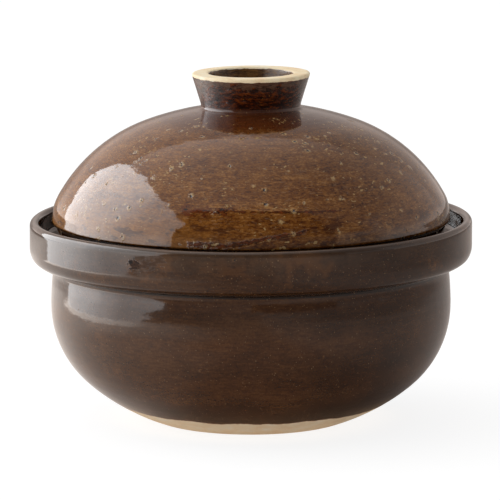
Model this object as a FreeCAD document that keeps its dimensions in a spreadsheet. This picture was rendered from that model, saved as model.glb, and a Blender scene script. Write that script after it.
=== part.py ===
import FreeCAD, Part
import math
import os
import Sketcher

# Clay smoker pot: a thrown pot with a water gutter round its mouth, a domed lid with a hollow
# ring knob, and three stacked wire racks. Millimetres, +Z up, origin on the ground at the axis.

vector = FreeCAD.Vector
doc = FreeCAD.newDocument("clay_smoker_pot")

SIZES = {
    # Bowl of the pot
    "foot_radius": 69.0,
    "foot_ring_width": 12.0,
    "foot_hollow": 1.5,
    "belly_radius": 142.1,
    "belly_drop": 25.5,
    "haunch_share_across": 0.667,
    "haunch_share_up": 0.339,
    "wall": 9.0,
    "floor_thickness": 12.0,
    "floor_fillet": 30.0,
    # Band, gutter and lip round the mouth
    "rim_height": 143.7,
    "band_height": 36.0,
    "band_overhang": 15.4,
    "band_underside_rise": 3.1,
    "band_corner_width": 9.6,
    "band_corner_height": 12.9,
    "crease_inset": 1.5,
    "rim_wall": 7.5,
    "gutter_width": 26.0,
    "gutter_depth": 17.4,
    "gutter_fillet": 5.0,
    "lip_fillet": 3.0,
    "lip_wall": 7.0,
    "lip_drop": 6.9,
    "throat_turn": 14.0,
    # Lid
    "lid_gap": 9.0,
    "lid_wall": 8.0,
    "lid_edge_rise": 2.1,
    "dome_rise": 79.3,
    "crown_share_across": 0.554,
    "crown_share_down": 0.180,
    "edge_share_in": 0.0247,
    "edge_share_up": 0.168,
    "lid_foot_gap": 6.5,
    "lid_foot_width": 6.0,
    "lid_foot_height": 4.0,
    "seat_gap": 0.3,
    # Ring knob of the lid
    "knob_rise": 22.2,
    "knob_top_radius": 41.9,
    "knob_base_radius": 34.6,
    "knob_hole_radius": 29.8,
    "knob_hollow_radius": 26.0,
    "knob_round": 1.2,
    # Racks
    "rack_clearance": 4.5,
    "rack_spacing": 50.0,
    "lower_rack_height": 44.0,
    "lower_rack_inset": 4.0,
    "middle_rack_inset": 0.0,
    "top_rack_inset": 16.0,
    "rack_rim_wire": 4.0,
    "rack_bar_wire": 2.0,
    "rack_support_wire": 3.5,
    "rack_leg_wire": 3.0,
    "bar_pitch": 12.0,
    "weld_depth": 0.3,
    "leg_bend": 5.0,
    "leg_inset": 4.0,
    "lower_foot_reach": 12.0,
    "lower_support_spread": 40.0,
    "middle_support_spread": 60.0,
    "top_support_spread": 50.0,
}


def make_sheet():
    """Puts the driving sizes into the document's spreadsheet."""
    sheet = doc.addObject("Spreadsheet::Sheet", "Sizes")
    for row, (alias, number) in enumerate(SIZES.items(), start=1):
        sheet.set("A%d" % row, alias)
        sheet.set("B%d" % row, str(number))
        sheet.setAlias("B%d" % row, alias)
    doc.recompute()
    return sheet


class Size:
    """A number together with the sheet expression that gives it."""

    def __init__(self, number, text):
        self.number = number
        self.text = text

    def __add__(self, other):
        other = as_size(other)
        return Size(self.number + other.number, "(%s + %s)" % (self.text, other.text))

    def __sub__(self, other):
        other = as_size(other)
        return Size(self.number - other.number, "(%s - %s)" % (self.text, other.text))

    def __mul__(self, other):
        other = as_size(other)
        return Size(self.number * other.number, "(%s * %s)" % (self.text, other.text))

    def __truediv__(self, other):
        other = as_size(other)
        return Size(self.number / other.number, "(%s / %s)" % (self.text, other.text))

    def __neg__(self):
        return Size(-self.number, "(-1 * %s)" % self.text)


class Guess(float):
    """A coordinate that the sketch's other constraints settle."""


def as_size(value):
    if isinstance(value, Size):
        return value
    return Size(float(value), "%g" % value)


def root(size):
    return Size(math.sqrt(size.number), "sqrt(%s)" % size.text)


def number_of(value):
    return value.number if isinstance(value, Size) else float(value)


def named(alias):
    return Size(sheet.get(alias), "Sizes.%s" % alias)


def bind(item, path, size):
    """Sets a property of an object from the sheet."""
    item.setExpression(path, as_size(size).text)


def origin_plane(body, role):
    for feature in body.Origin.OriginFeatures:
        if feature.Role == role:
            return feature
    raise ValueError(role)


def centre_of_tangent_arc(start, end, tangent):
    """Centre of the arc from start to end that leaves start along tangent."""
    normal = vector(-tangent.y, tangent.x, 0)
    chord = end - start
    return start + normal * (chord.dot(chord) / (2 * chord.dot(normal)))


class Outline:
    """A chain of lines and tangent arcs in a sketch on one of a body's own planes."""

    UPRIGHT = vector(0, 1, 0)
    LEVEL = vector(1, 0, 0)

    def __init__(self, body, label, role, offset=None):
        self.sketch = body.newObject("Sketcher::SketchObject", label)
        self.sketch.AttachmentSupport = [(origin_plane(body, role), "")]
        self.sketch.MapMode = "FlatFace"
        if offset is not None:
            bind(self.sketch, "AttachmentOffset.Base.z", offset)
        self.corners = 0
        self.first = None
        self.last = None

    def begin(self, across, up):
        self.start = (across, up)
        self.here = vector(number_of(across), number_of(up), 0)

    def constrain(self, *terms):
        return self.sketch.addConstraint(Sketcher.Constraint(*terms))

    def fix(self, end, across, up):
        """Ties a point of the chain to the sheet, or to an axis where it is zero."""
        self.corners += 1
        axes = (("DistanceX", "across", across, -2), ("DistanceY", "up", up, -1))
        for kind, suffix, value, axis in axes:
            if isinstance(value, Guess):
                continue
            if number_of(value) == 0:
                self.constrain("PointOnObject", end[0], end[1], axis)
                continue
            index = self.constrain(kind, -1, 1, end[0], end[1], number_of(value))
            name = "point%d_%s" % (self.corners, suffix)
            self.sketch.renameConstraint(index, name)
            bind(self.sketch, "Constraints.%s" % name, value)

    def join(self, start, smooth=False):
        if self.last is None:
            self.first = start
            self.fix(start, *self.start)
        elif smooth:
            self.constrain("Tangent", self.last[0], self.last[1], start[0], start[1])
        else:
            self.constrain("Coincident", self.last[0], self.last[1], start[0], start[1])

    def line(self, across, up):
        end = vector(number_of(across), number_of(up), 0)
        piece = self.sketch.addGeometry(Part.LineSegment(self.here, end))
        self.join((piece, 1))
        self.fix((piece, 2), across, up)
        self.tangent = (end - self.here).normalize()
        self.here = end
        self.last = (piece, 2)
        return piece

    def arc(self, across, up, centre=None, leaves=None, arrives=None, smooth=False, on=None):
        """Adds an arc. One of these settles its centre: a given one, a tangent, or arc on."""
        end = vector(number_of(across), number_of(up), 0)
        if on is not None:
            centre = self.centre(on)
        elif leaves is not None:
            centre = centre_of_tangent_arc(self.here, end, leaves)
        elif arrives is not None:
            centre = centre_of_tangent_arc(end, self.here, arrives)
        elif centre is None:
            centre = centre_of_tangent_arc(self.here, end, self.tangent)
        spoke_in = self.here - centre
        spoke_out = end - centre
        forward = spoke_in.cross(spoke_out).z > 0
        angles = [math.atan2(spoke.y, spoke.x) for spoke in (spoke_in, spoke_out)]
        if not forward:
            angles.reverse()
        circle = Part.Circle(centre, vector(0, 0, 1), spoke_in.Length)
        piece = self.sketch.addGeometry(Part.ArcOfCircle(circle, angles[0], angles[1]))
        start_end, far_end = ((piece, 1), (piece, 2)) if forward else ((piece, 2), (piece, 1))
        self.join(start_end, smooth)
        self.fix(far_end, across, up)
        if on is not None:
            self.constrain("Coincident", piece, 3, on, 3)
        tangent = leaves or arrives
        if tangent is not None:
            kind = "Horizontal" if tangent is self.UPRIGHT else "Vertical"
            touched = start_end if leaves is not None else far_end
            self.constrain(kind, piece, 3, touched[0], touched[1])
        turn = 1 if forward else -1
        self.tangent = vector(-spoke_out.y * turn, spoke_out.x * turn, 0).normalize()
        self.here = end
        self.last = far_end
        return piece

    def close(self):
        start = vector(number_of(self.start[0]), number_of(self.start[1]), 0)
        piece = self.sketch.addGeometry(Part.LineSegment(self.here, start))
        self.join((piece, 1))
        self.constrain("Coincident", piece, 2, self.first[0], self.first[1])

    def centre(self, piece):
        return self.sketch.Geometry[piece].Center

    def radius(self, piece):
        return self.sketch.Geometry[piece].Radius


def turned_body(label, draw):
    """A body turned about the Z axis from the outline that draw makes."""
    body = doc.addObject("PartDesign::Body", label)
    body.Label = label
    outline = Outline(body, label + "_profile", "XZ_Plane")
    draw(outline)
    turning = body.newObject("PartDesign::Revolution", label + "_turning")
    turning.Profile = outline.sketch
    turning.ReferenceAxis = (outline.sketch, ["V_Axis"])
    turning.Angle = 360.0
    return body


def draw_pot(outline):
    """The pot's half section, from its foot out, up, over the rim and down inside."""
    upright, level = Outline.UPRIGHT, Outline.LEVEL
    foot = named("foot_radius")
    hollow = named("foot_hollow")
    ring_inside = foot - named("foot_ring_width")
    outline.begin(0, hollow)
    outline.line(ring_inside - hollow, hollow)
    outline.line(ring_inside, 0)
    outline.line(foot, 0)

    # Bowl: a flatter arc from the foot, a rounder one up to the belly, a slight draw in above
    haunch_across = foot + (belly_radius - foot) * named("haunch_share_across")
    haunch_up = belly_height * named("haunch_share_up")
    side_centre = centre_of_tangent_arc(
        vector(belly_radius.number, belly_height.number, 0),
        vector(haunch_across.number, haunch_up.number, 0), vector(0, -1, 0))
    haunch = vector(haunch_across.number, haunch_up.number, 0)
    haunch_tangent = (haunch - side_centre).cross(vector(0, 0, -1)).normalize()
    low_centre = centre_of_tangent_arc(haunch, outline.here, haunch_tangent)
    low_arc = outline.arc(haunch_across, haunch_up, centre=low_centre)
    side_arc = outline.arc(belly_radius, belly_height, smooth=True, arrives=upright)
    outline.arc(belly_radius - named("crease_inset"), crease_height, leaves=upright)

    # Band: sloping underside, rounded lower corner, full round rim
    corner_across = band_radius - named("band_corner_width")
    corner_up = crease_height + named("band_underside_rise")
    rim_round = named("rim_wall") / 2
    outline.line(corner_across, corner_up)
    outline.arc(band_radius, corner_up + named("band_corner_height"), arrives=upright)
    outline.line(band_radius, rim_height - rim_round)
    outline.arc(band_radius - rim_round, rim_height, leaves=upright)
    outline.arc(gutter_radius, rim_height - rim_round, arrives=upright)

    # Gutter between the band and the lip
    fillet = named("gutter_fillet")
    lip_fillet = named("lip_fillet")
    outline.line(gutter_radius, gutter_floor + fillet)
    outline.arc(gutter_radius - fillet, gutter_floor, arrives=level)
    outline.line(lip_radius + lip_fillet, gutter_floor)
    outline.arc(lip_radius, gutter_floor + lip_fillet, leaves=level)

    # Lip round the mouth
    lip_round = named("lip_wall") / 2
    lip_top = rim_height - named("lip_drop")
    outline.line(lip_radius, lip_top - lip_round)
    outline.arc(lip_radius - lip_round, lip_top, leaves=upright)
    outline.arc(mouth_radius, lip_top - lip_round, arrives=upright)
    outline.line(mouth_radius, gutter_floor)

    # Inside of the shoulder: two arcs that meet on their common chord
    inner_belly = belly_radius - named("wall")
    turn = named("throat_turn")
    share = turn / (gutter_floor - belly_height)
    outline.arc(mouth_radius + (inner_belly - mouth_radius) * share, gutter_floor - turn,
                leaves=upright)
    outline.arc(inner_belly, belly_height, arrives=upright)

    # Inside of the bowl, one wall thickness in from the outside
    wall = named("wall").number
    inner_haunch = haunch + (side_centre - haunch).normalize() * wall
    outline.arc(Guess(inner_haunch.x), Guess(inner_haunch.y), on=side_arc)
    floor = floor_height.number
    fillet_radius = named("floor_fillet")
    inner_radius = outline.radius(low_arc) - wall
    reach = inner_radius - fillet_radius.number
    low_centre = outline.centre(low_arc)
    drop = low_centre.y - floor - fillet_radius.number
    fillet_centre = vector(low_centre.x + math.sqrt(reach ** 2 - drop ** 2),
                           floor + fillet_radius.number, 0)
    fillet_top = low_centre + (fillet_centre - low_centre) * (inner_radius / reach)
    outline.arc(Guess(fillet_top.x), Guess(fillet_top.y), on=low_arc, smooth=True)
    fillet_arc = outline.arc(Guess(fillet_centre.x), floor_height, centre=fillet_centre,
                             smooth=True)
    index = outline.constrain("Radius", fillet_arc, fillet_radius.number)
    outline.sketch.renameConstraint(index, "floor_fillet")
    bind(outline.sketch, "Constraints.floor_fillet", fillet_radius)
    outline.constrain("Vertical", fillet_arc, 3, outline.last[0], outline.last[1])
    outline.line(0, floor_height)
    outline.close()


def draw_lid(outline):
    """The lid's half section, from the crown inside the knob out to the edge and back inside."""
    upright, level = Outline.UPRIGHT, Outline.LEVEL
    crown_across = lid_radius * named("crown_share_across")
    crown_up = dome_top - named("dome_rise") * named("crown_share_down")
    crown_fall = (dome_top - crown_up).number
    crown_ball = (crown_across.number ** 2 + crown_fall ** 2) / (2 * crown_fall)
    crown_centre = vector(0, dome_top.number - crown_ball, 0)

    def on_crown(across):
        return Guess(crown_centre.y + math.sqrt(crown_ball ** 2 - across.number ** 2))

    # Crown inside the knob, then up the hollow, over the ring and down the flared outside
    knob_round = named("knob_round")
    hollow = named("knob_hollow_radius")
    hole = named("knob_hole_radius")
    knob_top = dome_top + named("knob_rise")
    knob_out = named("knob_top_radius")
    knob_base = named("knob_base_radius")
    outline.begin(0, dome_top)
    inner_crown = outline.arc(hollow, on_crown(hollow), centre=crown_centre)
    outline.constrain("PointOnObject", inner_crown, 3, -2)
    outline.line(hole, knob_top - knob_round)
    outline.arc(hole + knob_round, knob_top, arrives=level)
    outline.line(knob_out - knob_round, knob_top)
    outline.arc(knob_out, knob_top - knob_round, leaves=level)
    outline.line(knob_base, on_crown(knob_base))

    # Dome: flat crown, rounder shoulder, tight turn at the edge
    edge_up = lid_edge + named("dome_rise") * named("edge_share_up")
    edge_across = lid_radius - lid_radius * named("edge_share_in")
    crown_arc = outline.arc(crown_across, crown_up, on=inner_crown)
    outline.constrain("Equal", inner_crown, crown_arc)
    shoulder_arc = outline.arc(edge_across, edge_up, smooth=True)
    edge_arc = outline.arc(lid_radius, lid_edge, smooth=True)

    # Edge tucked under to the foot ring that stands in the gutter
    outline.arc(lid_foot_outside, lid_foot + named("lid_foot_height"), smooth=True)
    outline.line(lid_foot_outside, lid_foot)
    outline.line(lid_foot_outside - named("lid_foot_width"), lid_foot)
    wall = named("lid_wall")
    outline.line(lid_radius - wall, lid_edge)

    # Inside of the dome, one wall thickness in from the outside
    start = vector(edge_across.number, edge_up.number, 0)
    turn = start + (outline.centre(shoulder_arc) - start).normalize() * wall.number
    outline.arc(Guess(turn.x), Guess(turn.y), on=edge_arc)
    start = vector(crown_across.number, crown_up.number, 0)
    turn = start + (crown_centre - start).normalize() * wall.number
    outline.arc(Guess(turn.x), Guess(turn.y), on=shoulder_arc, smooth=True)
    outline.arc(0, Guess((dome_top - wall).number), on=crown_arc, smooth=True)
    outline.close()


def wire(label, length, thickness, along, base):
    """A straight wire as a cylinder that starts at base and runs along X or Y."""
    piece = doc.addObject("Part::Cylinder", label)
    bind(piece, "Radius", thickness / 2)
    bind(piece, "Height", length)
    axis, angle = (vector(0, 1, 0), 90) if along == "X" else (vector(1, 0, 0), -90)
    piece.Placement = FreeCAD.Placement(vector(0, 0, 0), FreeCAD.Rotation(axis, angle))
    for letter, size in zip("xyz", base):
        bind(piece, "Placement.Base.%s" % letter, size)
    return piece


def group(label, pieces):
    """One node that holds several separate solids."""
    node = doc.addObject("Part::Compound", label)
    node.Label = label
    node.Links = pieces
    return node


def rack_rim(label, radius, height):
    ring = doc.addObject("Part::Torus", label)
    ring.Label = label
    bind(ring, "Radius1", radius)
    bind(ring, "Radius2", named("rack_rim_wire") / 2)
    bind(ring, "Placement.Base.z", height)
    return ring


def rack_bars(label, radius, height):
    """Parallel bars along X, each as long as the rim's wire circle lets it be."""
    pitch = named("bar_pitch")
    last = int((radius - named("rack_rim_wire") * 1.5).number // pitch.number)
    pieces = []
    for step in range(-last, last + 1):
        across = pitch * step
        half = root(radius * radius - across * across)
        name = "%s_%d" % (label, step + last)
        pieces.append(wire(name, half * 2, named("rack_bar_wire"), "X", (-half, across, height)))
    return group(label, pieces)


def rack_supports(label, radius, height, spread):
    """Two wires along Y under the bars, with their ends in the rim."""
    half = root(radius * radius - spread * spread)
    pieces = []
    for side in (-1, 1):
        name = "%s_%s" % (label, "left" if side < 0 else "right")
        base = (spread * side, -half, height)
        pieces.append(wire(name, half * 2, named("rack_support_wire"), "Y", base))
    return group(label, pieces)


def rack_legs(label, spread, centre, reach, foot, top):
    """Four legs, each a wire bent to a U below a support wire."""
    body = doc.addObject("PartDesign::Body", label + "_leg")
    bend = named("leg_bend")
    path = Outline(body, label + "_path", "YZ_Plane", spread)
    path.begin(centre - reach, top)
    path.line(centre - reach, foot + bend)
    path.arc(centre - reach + bend, foot, leaves=Outline.UPRIGHT)
    path.line(centre + reach - bend, foot)
    path.arc(centre + reach, foot + bend, arrives=Outline.UPRIGHT)
    path.line(centre + reach, top)
    section = body.newObject("Sketcher::SketchObject", label + "_section")
    section.AttachmentSupport = [(origin_plane(body, "XY_Plane"), "")]
    section.MapMode = "FlatFace"
    bind(section, "AttachmentOffset.Base.x", spread)
    bind(section, "AttachmentOffset.Base.y", centre - reach)
    bind(section, "AttachmentOffset.Base.z", top)
    radius = named("rack_leg_wire") / 2
    round_wire = section.addGeometry(Part.Circle(vector(0, 0, 0), vector(0, 0, 1), radius.number))
    section.addConstraint(Sketcher.Constraint("Coincident", round_wire, 3, -1, 1))
    index = section.addConstraint(Sketcher.Constraint("Radius", round_wire, radius.number))
    section.renameConstraint(index, "wire_radius")
    bind(section, "Constraints.wire_radius", radius)
    pipe = body.newObject("PartDesign::AdditivePipe", label + "_pipe")
    pipe.Profile = section
    pipe.Spine = path.sketch
    pieces = [body]
    for name, normal in (("left", vector(1, 0, 0)), ("back", vector(0, 1, 0))):
        for source in list(pieces):
            copy = doc.addObject("Part::Mirroring", "%s_%s_%d" % (label, name, len(pieces)))
            copy.Source = source
            copy.Normal = normal
            pieces.append(copy)
    return group(label, pieces)


def make_rack(label, seat, top, inset, spread, legs):
    """A rack whose bars' tops lie at height top and whose feet stand on height seat."""
    rim_wire = named("rack_rim_wire")
    bar_wire = named("rack_bar_wire")
    weld = named("weld_depth")
    radius = mouth_radius - named("rack_clearance") - inset - rim_wire / 2
    bar_height = top - bar_wire / 2
    rim_middle = top - bar_wire - rim_wire / 2 + weld
    support_middle = top - bar_wire - named("rack_support_wire") / 2 + weld
    foot = seat + named("seat_gap") + named("rack_leg_wire") / 2
    return [
        rack_rim(label + "_rim", radius, rim_middle),
        rack_supports(label + "_supports", radius, support_middle, spread),
        rack_bars(label + "_bars", radius, bar_height),
        rack_legs(label + "_legs", spread, legs[0], legs[1], foot, support_middle),
    ]


def check(nodes):
    """Stops the build where an object failed or a sub-part has no valid shape."""
    for item in doc.Objects:
        failed = [word for word in item.State if word in ("Invalid", "Error")]
        if failed:
            raise RuntimeError("%s: %s" % (item.Name, item.State))
    for node in nodes:
        if node.Shape.isNull() or not node.Shape.isValid():
            raise RuntimeError("%s has no valid shape" % node.Label)


sheet = make_sheet()

# Heights and radii that several pieces share
rim_height = named("rim_height")
crease_height = rim_height - named("band_height")
belly_height = crease_height - named("belly_drop")
belly_radius = named("belly_radius")
floor_height = named("floor_thickness")
band_radius = belly_radius + named("band_overhang")
gutter_radius = band_radius - named("rim_wall")
gutter_floor = rim_height - named("gutter_depth")
lip_radius = gutter_radius - named("gutter_width")
mouth_radius = lip_radius - named("lip_wall")
lid_radius = gutter_radius - named("lid_gap")
lid_edge = rim_height + named("lid_edge_rise")
lid_foot = gutter_floor + named("seat_gap")
lid_foot_outside = lip_radius + named("lid_foot_gap") + named("lid_foot_width")
dome_top = lid_edge + named("dome_rise")

pot_body = turned_body("pot_body", draw_pot)
lid = turned_body("lid", draw_lid)

# The lower rack stands on the flat floor, each other rack on the bars of the one below
lower_top = floor_height + named("lower_rack_height")
middle_top = lower_top + named("rack_spacing")
top_top = middle_top + named("rack_spacing")
pitch = named("bar_pitch")
lower_spread = named("lower_support_spread")
foot_circle = named("foot_radius") - named("leg_inset")
lower_reach = named("lower_foot_reach")
lower_centre = root(foot_circle * foot_circle - lower_spread * lower_spread) - lower_reach

nodes = [pot_body, lid]
nodes += make_rack("lower_rack", floor_height, lower_top, named("lower_rack_inset"),
                   lower_spread, (lower_centre, lower_reach))
nodes += make_rack("middle_rack", lower_top, middle_top, named("middle_rack_inset"),
                   named("middle_support_spread"), (pitch * 4.5, pitch))
nodes += make_rack("top_rack", middle_top, top_top, named("top_rack_inset"),
                   named("top_support_spread"), (pitch * 3.5, pitch))

doc.recompute()
check(nodes)

os.makedirs("parts", exist_ok=True)
for node in nodes:
    node.Shape.exportStep("parts/%s.step" % node.Label)
    print(node.Label, "solids", len(node.Shape.Solids), "volume", round(node.Shape.Volume))
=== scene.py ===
import math

import bpy
import numpy as np
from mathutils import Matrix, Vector


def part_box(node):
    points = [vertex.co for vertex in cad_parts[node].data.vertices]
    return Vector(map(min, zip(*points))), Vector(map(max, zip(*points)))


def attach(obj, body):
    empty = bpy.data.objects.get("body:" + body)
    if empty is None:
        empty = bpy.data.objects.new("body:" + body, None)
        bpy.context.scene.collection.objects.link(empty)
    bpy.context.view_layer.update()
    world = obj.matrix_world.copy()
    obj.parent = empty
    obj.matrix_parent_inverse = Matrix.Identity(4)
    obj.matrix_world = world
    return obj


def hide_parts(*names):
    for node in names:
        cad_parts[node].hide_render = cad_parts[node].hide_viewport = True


# Looks of a clay smoker pot: glazed pot and lid with bare clay at foot and knob ring, and
# steel wire racks inside. Metres, +Z up; the photograph looks along +Y.

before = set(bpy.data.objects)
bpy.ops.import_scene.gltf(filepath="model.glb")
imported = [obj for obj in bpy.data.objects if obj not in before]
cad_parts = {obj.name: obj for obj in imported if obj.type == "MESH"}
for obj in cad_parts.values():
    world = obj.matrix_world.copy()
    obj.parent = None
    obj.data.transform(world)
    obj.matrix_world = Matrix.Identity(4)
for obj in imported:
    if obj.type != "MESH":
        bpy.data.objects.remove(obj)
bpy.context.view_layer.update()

MM = 0.001
TURN = 2 * math.pi

# Sizes taken from the frame
POT_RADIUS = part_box("pot_body")[1].x
POT_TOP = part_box("pot_body")[1].z
KNOB_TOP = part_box("lid")[1].z
LID_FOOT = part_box("lid")[0].z

# Turned surfaces
COLUMNS = 640
SEAM_REACH = 1e-6
CORNER = math.radians(28)
LONG_STRETCH = 2.2
FINE_STEP = 0.4 * MM
OUTER_STEP = 1.1 * MM
INNER_STEP = 3.5 * MM
SOFT_CORNER = 0.7 * MM
POOL_ROUND = 2.2 * MM
POOL_REACH = 5.0 * MM

# Places on the pot and the lid
LIP_INSIDE = POT_RADIUS - 41 * MM
BAND_EDGE = 110 * MM
KNOB_RADIUS = 43 * MM
KNOB_HOLE = 31 * MM
KNOB_BASE = (34.6 * MM, 222.4 * MM)

# Where the glaze ends: a wavy line above the foot, and a line below the knob's top
FOOT_GLAZE_HEIGHT = 13.4 * MM
FOOT_GLAZE_WAVE = 1.2 * MM
KNOB_BARE_OUTSIDE = 3.0 * MM
KNOB_BARE_INSIDE = 1.4 * MM

# Blister scar on the band, left of the front
FIRE_MARK = (-79.5 * MM, -136 * MM, 132 * MM)

# The pot's rim and the lid stand a little askew, as hand-made ones do
LEAN = math.radians(0.45)
LID_SHIFT = 0.15 * MM

# Drawn in at the widest and the highest place, so that relief and lean keep to the CAD box
BOX_ROOM = 0.35 * MM

# The lid's glaze thickens to a crisp edge, tucked in below
EDGE_HEIGHTS = np.array([131, 134, 139.4, 140.9, 142.7, 144.5, 146, 147.5, 149]) * MM
EDGE_PUSH = np.array([0, -1.2, -2.4, -1.6, 0.75, 0.4, 0.18, 0.04, 0]) * MM

# The glaze draws the band's lower edge up a little, so that it ends crisply above the bowl
BAND_FOOT_HEIGHTS = np.array([105.5, 107.7, 116]) * MM
BAND_FOOT_LIFT = np.array([0, 2.3, 0]) * MM

# Camera
CAMERA_PLACE = (-0.61 * MM, -2900 * MM, 598.6 * MM)
CAMERA_PITCH = math.radians(9.379)
CAMERA_LENS = 297.5
CAMERA_REACH = 60

# Lights and floor
SOFTBOX_WIDE = 1.53
SOFTBOX_TALL = 0.93
SOFTBOX_AWAY = 0.65
SOFTBOX_BACK = 0.075
SOFTBOX_GLOSS = 4.4
SOFTBOX_LIGHT = 2.1
FRONT_FILL = 0.58
TOP_FILL = 0.2
RIGHT_SHARE = 0.8
FLOOR_REACH = 6.0
FLOOR_DROP = 0.05 * MM
FLOOR_BOUNCE = 0.35


# Outlines

def seam_chain(node):
    """Half section of a turned node, (radius, height) from its lower end, read along its seam."""
    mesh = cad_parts[node].data

    def seam_point(index):
        x, y, z = mesh.vertices[index].co
        on_seam = abs(y) < SEAM_REACH and x > -SEAM_REACH
        return (round(x, 6), round(z, 6)) if on_seam else None

    beside = {}
    for edge in mesh.edges:
        one, other = [seam_point(index) for index in edge.vertices]
        if one and other and one != other:
            beside.setdefault(one, set()).add(other)
            beside.setdefault(other, set()).add(one)
    ends = [point for point, others in beside.items() if len(others) == 1]
    chain = [min(ends, key=lambda point: point[1])]
    last = None
    while True:
        ahead = [point for point in beside[chain[-1]] if point != last]
        if not ahead:
            break
        last = chain[-1]
        chain.append(ahead[0])
    if chain[0][0] > 0:
        chain.insert(0, (0.0, chain[0][1]))
    if chain[-1][0] > 0:
        chain.append((0.0, chain[-1][1]))
    return np.array(chain)


def tangents_of(points):
    """Directions at the points of a smooth run; a long straight stretch keeps its own."""
    spans = np.diff(points, axis=0)
    lengths = np.linalg.norm(spans, axis=1)
    ways = spans / lengths[:, None]
    tangents = [ways[0]]
    for index in range(1, len(ways)):
        before, after = lengths[index - 1], lengths[index]
        if max(before, after) > LONG_STRETCH * min(before, after):
            tangent = ways[index - 1] if before > after else ways[index]
        else:
            tangent = ways[index - 1] * after + ways[index] * before
        tangents.append(tangent / np.linalg.norm(tangent))
    tangents.append(ways[-1])
    return np.array(tangents)


def smooth_run(points, step):
    """Points about step apart on a smooth curve through one run of an outline."""
    tangents = tangents_of(points)
    made = [points[:1]]
    for index in range(len(points) - 1):
        start, end = points[index], points[index + 1]
        length = np.linalg.norm(end - start)
        share = np.linspace(0, 1, max(2, int(length / step) + 1))[1:, None]
        square, cube = share ** 2, share ** 3
        made.append((2 * cube - 3 * square + 1) * start + (3 * square - 2 * cube) * end
                    + (cube - 2 * square + share) * length * tangents[index]
                    + (cube - square) * length * tangents[index + 1])
    return np.concatenate(made)


def split_at_corners(chain):
    """The smooth runs between an outline's corners."""
    spans = np.diff(chain, axis=0)
    headings = np.arctan2(spans[:, 1], spans[:, 0])
    turns = np.abs((np.diff(headings) + math.pi) % TURN - math.pi)
    cuts = [0, *(np.flatnonzero(turns > CORNER) + 1), len(chain) - 1]
    return [chain[start:end + 1] for start, end in zip(cuts, cuts[1:])]


def soften(points, reach):
    """Rounds an outline's corners a little, as glaze does."""
    count = int(4 * reach / FINE_STEP)
    offsets = np.arange(-count, count + 1) * FINE_STEP
    weights = np.exp(-0.5 * (offsets / reach) ** 2)
    weights /= weights.sum()
    padded = np.concatenate([2 * points[:1] - points[count:0:-1], points,
                             2 * points[-1:] - points[-2:-count - 2:-1]])
    soft = [np.convolve(padded[:, axis], weights, mode="valid") for axis in (0, 1)]
    return np.stack(soft, axis=1)


def along_of(points):
    """Length along an outline, from its first point to each point."""
    return np.concatenate([[0], np.cumsum(np.linalg.norm(np.diff(points, axis=0), axis=1))])


def even_points(chain):
    """The smooth curve through an outline as points FINE_STEP apart."""
    runs = [smooth_run(run, FINE_STEP) for run in split_at_corners(chain)]
    raw = np.concatenate([runs[0]] + [run[1:] for run in runs[1:]])
    along = along_of(raw)
    even = np.arange(0, along[-1], FINE_STEP)
    return np.stack([np.interp(even, along, raw[:, axis]) for axis in (0, 1)], axis=1)


class Outline:
    """Rows of a turned wall: radius, height, outward way and length along the wall.

    Rows that outside(radius, height) picks stand closer. Glaze pools at the place pool.
    """

    def __init__(self, node, outside, pool=None):
        chain = seam_chain(node)
        points = soften(even_points(chain), SOFT_CORNER)
        if pool is not None:
            near = np.exp(-(np.linalg.norm(points - pool, axis=1) / POOL_REACH) ** 2)[:, None]
            points = points + near * (soften(points, POOL_ROUND) - points)
        points[0, 0] = points[-1, 0] = 0
        points[:, 1] = np.maximum(points[:, 1], chain[:, 1].min())
        steps = np.where(outside(points[:, 0], points[:, 1]), OUTER_STEP, INNER_STEP)
        rows = np.concatenate([[0], np.cumsum(FINE_STEP / steps[1:])])
        wanted = np.linspace(0, rows[-1], int(rows[-1]) + 1)

        def pick(values):
            return np.interp(wanted, rows, values)

        self.radius = pick(points[:, 0])
        self.height = pick(points[:, 1])
        self.along = pick(along_of(points))
        self.outside = pick(steps) < (OUTER_STEP + INNER_STEP) / 2
        across, up = np.gradient(self.radius), np.gradient(self.height)
        size = np.hypot(across, up)
        self.way = np.stack([up / size, -across / size])


# Relief

def ripples(seed, pitch, depth, count=7):
    """Throwing rings: uneven waves along the wall that drift as they go round it."""
    draw = np.random.default_rng(seed)
    lengths = pitch * draw.uniform(0.7, 1.5, count)
    phases = draw.uniform(0, TURN, count)
    drifts = draw.integers(-2, 3, count)

    def push(along, angle):
        waves = [np.sin(TURN * along / length + phase + drift * angle)
                 for length, phase, drift in zip(lengths, phases, drifts)]
        return depth * sum(waves) / math.sqrt(count)
    return push


def dimples(seed, size, depth, count=36):
    """Gentle unevenness in all directions, about size across."""
    draw = np.random.default_rng(seed)
    ways = draw.normal(size=(count, 3))
    ways *= (TURN / (size * draw.uniform(0.75, 1.6, count)) / np.linalg.norm(ways, axis=1))[:, None]
    phases = draw.uniform(0, TURN, count)

    def push(x, y, z):
        waves = [np.sin(way[0] * x + way[1] * y + way[2] * z + phase)
                 for way, phase in zip(ways, phases)]
        return depth * sum(waves) / math.sqrt(count)
    return push


def wall_grid(outline, relief, settle):
    """Points of a turned wall with its relief, row by row and column by column."""
    angle = np.arange(COLUMNS)[None, :] * TURN / COLUMNS
    turn_x, turn_y = np.cos(angle), np.sin(angle)
    radius, height = outline.radius[:, None], outline.height[:, None]
    way_out, way_up = outline.way[0][:, None], outline.way[1][:, None]
    push = relief(outline, angle, radius * turn_x, radius * turn_y, height + 0 * angle)
    radius = radius + way_out * push
    height = height + way_up * push
    return np.stack(settle(radius * turn_x, radius * turn_y, height), axis=2)


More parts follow.
